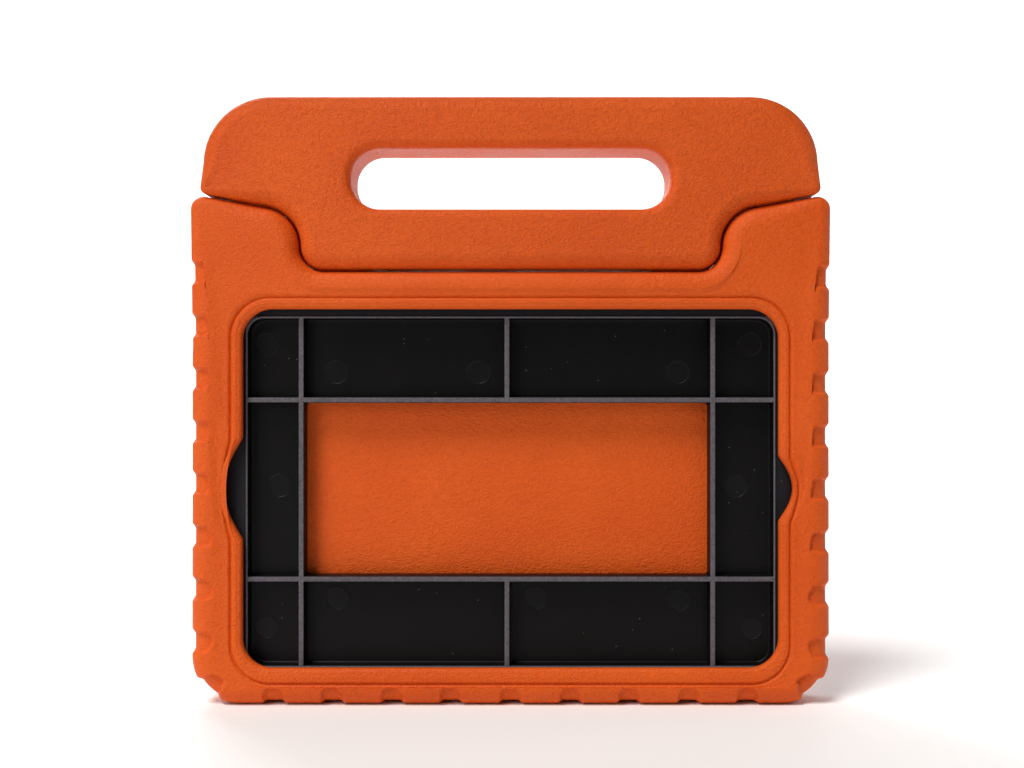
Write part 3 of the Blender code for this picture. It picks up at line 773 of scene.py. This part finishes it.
def handleRings(shape):
    # A ring of foam: the outline and the slot's outline have matching points, and a section is
    # carried round between them: slot wall, slot's rounded edge, face, outer rounding, side and back.
    front, back = handleLow[1], handleHigh[1]
    half, top, low = handleHigh[0], handleHigh[2], handleLow[2]
    bar = shape["barHalf"]
    inner = bodyHigh[2] + bodyFoam["earRise"] - bodyFoam["earWidth"] * math.tan(shape["slope"])
    inner += shape["gap"] * 0.85
    wingLow = inner + (half - bar) * math.tan(shape["slope"])
    counts = shape["counts"]
    right, normal = arcPoints([(0, low, 0), (bar, low, shape["barCorner"]), (bar, inner, shape["shoulder"]),
                               (half, wingLow, shape["wingCorner"]),
                               (half - shape["taper"], top, shape["topCorner"]), (0, top, 0)], counts)
    outer, outNormal = mirrored(right), mirrored(normal)
    ends = np.cumsum(counts)
    slotHalf, corner = shape["slotHalf"], shape["slotCorner"]
    slotRight, slotNormal = arcPoints([(0, shape["slotLow"], 0), (slotHalf, shape["slotLow"], corner),
                                       (slotHalf, shape["slotHigh"], corner), (0, shape["slotHigh"], 0)],
                                      [counts[0], ends[3] - ends[0], 4, ends[7] - ends[3] - 4, counts[8]])
    slot, inNormal = mirrored(slotRight), mirrored(slotNormal)
    room = np.full(len(right), shape["roll"])
    # the rounding narrows evenly along the wing to its tight corner and widens again up the side
    tight = shape["wingCorner"] * 0.9
    room[ends[3]:ends[4]] = np.linspace(shape["roll"], tight, counts[4])
    room[ends[4]:ends[5]] = tight
    room[ends[5]:ends[6]] = np.linspace(tight, shape["roll"], counts[6])
    room = softened(mirrored(room[:, None], False)[:, 0], 8)
    rings = []

    def ring(loop, y):
        place = np.empty((len(outer), 3))
        place[:, 0], place[:, 2] = loop[:, 0], loop[:, 1]
        place[:, 1] = y
        rings.append(place)

    slotRoll = shape["slotRoll"]
    faceStart = slot + inNormal * slotRoll
    faceEnd = outer - outNormal * room[:, None]
    for share in np.linspace(0.0, 1.0, 9):
        ring(slot, back - slotRoll - (back - front - 2 * slotRoll) * share)
    for angle in np.radians(np.linspace(15, 90, 6)):
        ring(slot + inNormal * slotRoll * (1 - math.cos(angle)), front + slotRoll * (1 - math.sin(angle)))
    for share in np.linspace(0.08, 0.92, 8):
        lift = shape["crown"] * (1 - math.sin(math.pi * share) ** 0.8)
        ring(faceStart + (faceEnd - faceStart) * share, front + lift * 0.4)
    for angle in np.radians(np.linspace(0, 90, 15)):
        place = outer - outNormal * (room * (1 - math.sin(angle)))[:, None]
        step = shape["faceStep"] if angle == 0 else 0.0
        ring(place, front + room * 0.9 * (1 - math.cos(angle)) + step)
    touch = np.zeros(len(right))
    touch[ends[0] - 12:ends[3] + 16] = shape["touch"]
    touch = softened(mirrored(touch[:, None], False)[:, 0], 12)
    for share in np.linspace(0.1, 0.9, 7):
        swell = touch * math.sin(math.pi * min(1.0, share + 0.1)) ** 0.5
        ring(outer + outNormal * swell[:, None], front + room * 0.9 + (back - front - room * 1.8) * share)
    for angle in np.radians(np.linspace(0, 90, 11)):
        place = outer - outNormal * (room * (1 - math.cos(angle)))[:, None]
        ring(place, back - room * 0.9 * (1 - math.sin(angle)))
    for share in np.linspace(0.1, 0.9, 7):
        ring(faceEnd + (faceStart - faceEnd) * share, back)
    for angle in np.radians(np.linspace(0, 75, 6)):
        ring(slot + inNormal * slotRoll * (1 - math.sin(angle)), back - slotRoll * (1 - math.cos(angle)))
    return np.array(rings)


handleSkin = ringMesh("handleFoam", handleRings(handleFoam), closed=True)
outwardFaces(handleSkin)
reachOut = handleFoam["barHalf"] + 0.003
boreProfile = [(-reachOut, handleFoam["bore"]), (reachOut, handleFoam["bore"])]
carve(handleSkin, [tube("boreTool", 0, hinge, boreProfile)])
paint(handleSkin, foamMaterial("orangeFoamHandle", foamLook, 1.4))
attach(handleSkin, "handle")
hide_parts("handle_foam")
print("handle:", len(handleSkin.data.polygons), "faces")


former = dict(
    wider=0.0030,          # how far each end reaches past the tablet's, under the lip's bulges
    corner=0.0100,
    shoulder=0.0054,       # from the outside to the rim, at the ends and above
    shoulderBelow=0.0036,
    shoulderDrop=0.0014,
    shoulderStep=0.0004,   # how far the shoulder starts below the rim's top
    rimCorner=0.0066,
    wall=0.0008,
    fillet=0.0008,
    floorThickness=0.0016,
    backEdge=0.0010,
    rib=0.0018,
    ribDrop=0.0003,
    ribRound=0.00035,
    ribFoot=0.0004,        # how much wider the foot of a rib is, for draft
    ribShift=-0.0013,      # how far the ribs lie off the middle
    sideRib=0.0275,        # from the former's end to the rib
    longRib=0.0345,        # from the former's long edge to the rib
    windowCorner=0.0012,
)


def roundedLoop(halfWide, low, high, radius, straight=40, arc=16):
    half, normal = arcPoints([(0, low, 0), (halfWide, low, radius), (halfWide, high, radius), (0, high, 0)],
                             [straight, arc, straight, arc, straight])
    return mirrored(half), mirrored(normal)


def trayRings(shape):
    # The tray: back, side, a convex shoulder up to the thin rim, the rim's top, wall, fillet and floor.
    front, back = formerLow[1], formerHigh[1]
    half, low, high = formerHigh[0], formerLow[2], formerHigh[2]
    outer, normal = roundedLoop(half + shape["wider"], low, high, shape["corner"])
    rim, rimNormal = roundedLoop(half - shape["shoulder"], low + shape["shoulderBelow"],
                                 high - shape["shoulder"], shape["rimCorner"])
    middle = np.array([0.0, (low + high) / 2])
    rings = []

    def ring(loop, y, share=1.0):
        loop = middle + (loop - middle) * share
        rings.append(np.stack([loop[:, 0], np.full(len(loop), y), loop[:, 1]], 1))

    backEdge = shape["backEdge"]
    for share in (0.05, 0.5, 0.9):
        ring(outer - normal * backEdge, back, share)
    for angle in np.radians(np.linspace(0, 90, 6)):
        ring(outer - normal * backEdge * (1 - math.sin(angle)), back - backEdge * (1 - math.cos(angle)))
    for angle in np.radians(np.linspace(90, 4, 14)):
        drop = shape["shoulderStep"] + shape["shoulderDrop"] * (1 - math.cos(angle))
        ring(rim + (outer - rim) * math.sin(angle), front + drop)
    bead = shape["wall"] / 2
    for angle in np.radians(np.linspace(0, 180, 7)):
        ring(rim - rimNormal * bead * (1 - math.cos(angle)), front + 0.0002 * (1 - math.sin(angle)))
    floor = back - shape["floorThickness"]
    fillet = shape["fillet"]
    inside = rim - rimNormal * shape["wall"]
    ring(inside - rimNormal * 0.0001, front + 0.0008)
    for angle in np.radians(np.linspace(0, 90, 7)):
        ring(inside - rimNormal * (0.0002 + fillet * (1 - math.cos(angle))),
             floor - fillet * (1 - math.sin(angle)))
    for share in (0.97, 0.8, 0.4, 0.05):
        ring(inside - rimNormal * (fillet + 0.0002), floor, share)
    return np.array(rings)


def ribBar(name, low, high, shape, upright):
    # A rib from low to high, with draft, and a rounded top: its section is carried along its length.
    front, back = formerLow[1] + shape["ribDrop"], formerHigh[1] - shape["floorThickness"] / 2
    thick = shape["rib"] / 2
    radius = shape["ribRound"]
    angle = np.radians(np.linspace(0, 90, 5))
    sideA = np.stack([-(thick - radius) - radius * np.cos(angle), front + radius * (1 - np.sin(angle))], 1)
    sideB = np.stack([(thick - radius) + radius * np.sin(angle), front + radius * (1 - np.cos(angle))], 1)
    foot = thick + shape["ribFoot"]
    section = np.concatenate([[[-foot, back]], sideA, sideB, [[foot, back]]])
    if upright:
        middle = (low[0] + high[0]) / 2
        begin, end = low[1], high[1]
    else:
        middle = (low[1] + high[1]) / 2
        begin, end = low[0], high[0]
    rings = np.zeros((2, len(section), 3))
    for row, along in enumerate((begin, end)):
        rings[row, :, 0 if upright else 2] = middle + section[:, 0]
        rings[row, :, 1] = section[:, 1]
        rings[row, :, 2 if upright else 0] = along
    return ringMesh(name, rings)


def formerRibs(shape):
    half = formerHigh[0]
    low, high = formerLow[2], formerHigh[2]
    end = shape["shoulder"] + shape["wall"] * 0.5
    endBelow = shape["shoulderBelow"] + shape["wall"] * 0.5
    sideX = half - shape["sideRib"] + shape["rib"] / 2
    rows = (low + shape["longRib"] + shape["rib"] / 2, high - shape["longRib"] - shape["rib"] / 2)
    bars = []
    for side in (-1, 1):
        place = side * sideX + shape["ribShift"]
        bars.append(ribBar("sideRib", (place, low + endBelow), (place, high - end), shape, True))
    for row in rows:
        bars.append(ribBar("longRib", (end - half, row), (half - end, row), shape, False))
    middle = shape["ribShift"]
    bars.append(ribBar("middleRib", (middle, low + endBelow), (middle, rows[0]), shape, True))
    bars.append(ribBar("middleRib", (middle, rows[1]), (middle, high - end), shape, True))
    return bars, sideX, rows


tray = ringMesh("formerTray", trayRings(former))
outwardFaces(tray)
bars, ribX, ribRows = formerRibs(former)
carve(tray, bars, 'UNION')
thick = former["rib"] / 2 + 0.0002
hole, _ = roundedLoop(ribX - thick, ribRows[0] + thick, ribRows[1] - thick, former["windowCorner"], 12, 8)
holeRings = np.array([np.stack([hole[:, 0] + former["ribShift"], np.full(len(hole), y), hole[:, 1]], 1)
                      for y in (formerLow[1] - 0.002, formerHigh[1] + 0.002)])
carve(tray, [ringMesh("windowTool", holeRings)])
ribTop = formerLow[1] + former["ribDrop"]
paint(tray, formerMaterial("blackPlastic", formerLook, ribTop + 0.0001, ribTop + 0.00035))
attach(tray, "case")
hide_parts("tablet_former")
print("former:", len(tray.data.polygons), "faces")


ejectorMarks = dict(
    # places of the round marks on the tray's floor, from its middle
    places=((-0.0880, 0.0520), (-0.0628, 0.0418), (-0.0115, 0.0418), (0.0603, 0.0418), (0.0865, 0.0520),
            (-0.0830, 0.0010), (0.0812, 0.0008), (-0.0880, -0.0500), (-0.0625, -0.0397), (0.0092, -0.0395),
            (0.0604, -0.0404), (0.0866, -0.0504)),
    radius=0.0044,
    lip=0.00028,
    height=0.00016,
    look=dict(floorColour=(0.0058, 0.0053, 0.0060), floorRoughness=0.32),
)


def markRings(shape):
    # Each mark is a disc that stands a hair proud, with a fine rounded bead round its edge.
    floor = formerHigh[1] - former["floorThickness"]
    radius, bead = shape["radius"], shape["lip"]
    profile = np.array([(0.05 * radius, 0.1), (radius - 2 * bead, 0.1), (radius - 1.4 * bead, 0.8),
                        (radius - 0.7 * bead, 1.0), (radius - 0.1 * bead, 0.6), (radius, -0.5)])
    angle = 2 * math.pi * np.arange(40) / 40
    middle = (formerLow[2] + formerHigh[2]) / 2
    meshes = []
    for x, z in shape["places"]:
        rings = np.zeros((len(profile), len(angle), 3))
        rings[:, :, 0] = x + profile[:, 0, None] * np.cos(angle)
        rings[:, :, 2] = middle + z + profile[:, 0, None] * np.sin(angle)
        rings[:, :, 1] = floor - profile[:, 1, None] * shape["height"]
        meshes.append(rings)
    return meshes


def joinRings(name, groups):
    # Several closed forms in one mesh.
    build = bmesh.new()
    for rings in groups:
        part = ringMesh(name + "Part", rings)
        outwardFaces(part)
        build.from_mesh(part.data)
        bpy.data.objects.remove(part, do_unlink=True)
    mesh = bpy.data.meshes.new(name)
    build.to_mesh(mesh)
    build.free()
    mesh.set_sharp_from_angle(angle=math.radians(9))
    return addPiece(name, mesh)


marks = joinRings("ejectorMarks", markRings(ejectorMarks))
paint(marks, formerMaterial("markPlastic", {**formerLook, **ejectorMarks["look"]}, -0.1, -0.09))
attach(marks, "case")
print("ejector marks:", len(ejectorMarks["places"]))


hingeFinishes = dict(
    handle_tube=turnedMetal("drawnAluminium", (0.70, 0.71, 0.72), 0.34),
    pivot_pin=turnedMetal("pinSteel", (0.56, 0.56, 0.57), 0.28),
    friction_washer=turnedMetal("springSteel", (0.34, 0.34, 0.36), 0.36),
    retaining_ring=turnedMetal("ringSteel", (0.34, 0.34, 0.36), 0.32),
    pivot_bush=mouldedNylon("bushNylon", (0.045, 0.045, 0.047), 0.42),
    hinge_bracket=mouldedNylon("bracketNylon", (0.030, 0.030, 0.032), 0.48),
)
for name, piece in nodes.items():
    finish = [value for key, value in hingeFinishes.items() if name.startswith(key)]
    if finish:
        paint(piece, finish[0])
print("hinge finishes set")


stage = dict(width=3.0, run=0.9, rise=1.6, bend=0.35, colour=(0.96, 0.96, 0.96))


def backdrop(shape):
    # A sheet that runs back along the floor and bends up into a wall.
    angle = np.radians(np.linspace(0, 90, 25))
    path = np.concatenate([[(-1.6, 0.0)],
                           np.stack([shape["run"] + shape["bend"] * np.sin(angle),
                                     shape["bend"] * (1 - np.cos(angle))], 1),
                           [(shape["run"] + shape["bend"], shape["rise"])]])
    across = np.array([-shape["width"] / 2, shape["width"] / 2])
    grid = np.zeros((len(path), 2, 3))
    grid[:, :, 0] = across
    grid[:, :, 1] = path[:, 0, None]
    grid[:, :, 2] = path[:, 1, None]
    index = np.arange(len(path) * 2).reshape(-1, 2)
    faces = np.stack([index[:-1, 0], index[:-1, 1], index[1:, 1], index[1:, 0]], 1)
    mesh = bpy.data.meshes.new("backdrop")
    mesh.from_pydata(grid.reshape(-1, 3).tolist(), [], faces.tolist())
    mesh.polygons.foreach_set("use_smooth", np.ones(len(mesh.polygons), dtype=bool))
    sheet = addPiece("backdrop", mesh)
    material, tree, shader = newMaterial("backdropPaper")
    place = addNode(tree, "ShaderNodeTexCoord").outputs["Object"]
    fleck = addNode(tree, "ShaderNodeTexNoise", links={"Vector": place}, Scale=900.0, Detail=2.0)
    tone = addNode(tree, "ShaderNodeMixRGB", {}, {"Fac": fleck.outputs["Fac"]},
                   Color1=shade(shape["colour"], 0.98), Color2=shade(shape["colour"]))
    tree.links.new(tone.outputs["Color"], shader.inputs["Base Color"])
    shader.inputs["Roughness"].default_value = 0.8
    mesh.materials.append(material)


lamps = dict(
    # name: place, where it points, size, power, colour
    left=((-0.46, -0.50, 0.36), (0.0, 0.0, 0.10), 0.30, 1.35, (1.0, 0.96, 0.90)),
    right=((0.75, 0.10, 0.35), (0.0, 0.0, 0.10), 0.45, 0.9, (0.97, 0.98, 1.0)),
    rear=((-0.45, 0.80, 0.70), (0.0, 0.0, 0.10), 0.50, 4.6, (1.0, 1.0, 1.0)),
    wall=((0.0, 0.60, 0.80), (0.0, 1.25, 0.80), 0.90, 10.0, (1.0, 1.0, 1.0)),
)
keyLight = dict(direction=(0.34, 0.42, -0.95), strength=2.4, angle=math.radians(20),
                colour=(1.0, 0.985, 0.96))
studioGlow = 0.07


def addLamps(setup, key, glow):
    for name, (place, aim, size, power, colour) in setup.items():
        light = bpy.data.lights.new(name + "Softbox", 'AREA')
        light.shape = 'SQUARE'
        light.size = size
        light.energy = power
        light.color = colour
        lamp = addPiece(name + "Softbox", light)
        lamp.location = place
        lamp.rotation_euler = (Vector(aim) - Vector(place)).to_track_quat('-Z', 'Y').to_euler()
    light = bpy.data.lights.new("keyLight", 'SUN')
    light.energy = key["strength"]
    light.angle = key["angle"]
    light.color = key["colour"]
    lamp = addPiece("keyLight", light)
    lamp.rotation_euler = Vector(key["direction"]).to_track_quat('-Z', 'Y').to_euler()
    world = bpy.data.worlds.new("studio")
    world.use_nodes = True
    world.node_tree.nodes["Background"].inputs["Color"].default_value = (1.0, 1.0, 1.0, 1.0)
    world.node_tree.nodes["Background"].inputs["Strength"].default_value = glow
    bpy.context.scene.world = world
    bpy.context.scene.view_settings.view_transform = 'Standard'  # keeps the orange full


cameraSetup = dict(place=(0.004, -0.4625, 0.1139), lens=44.85, shiftX=-0.0096)


def addCamera(setup):
    lens = bpy.data.cameras.new("camera")
    lens.sensor_width = 36.0
    lens.lens = setup["lens"]
    lens.shift_x = setup["shiftX"]
    camera = addPiece("camera", lens)
    camera.location = setup["place"]
    camera.rotation_euler = (math.radians(90), 0.0, 0.0)
    bpy.context.scene.camera = camera


backdrop(stage)
addLamps(lamps, keyLight, studioGlow)
addCamera(cameraSetup)
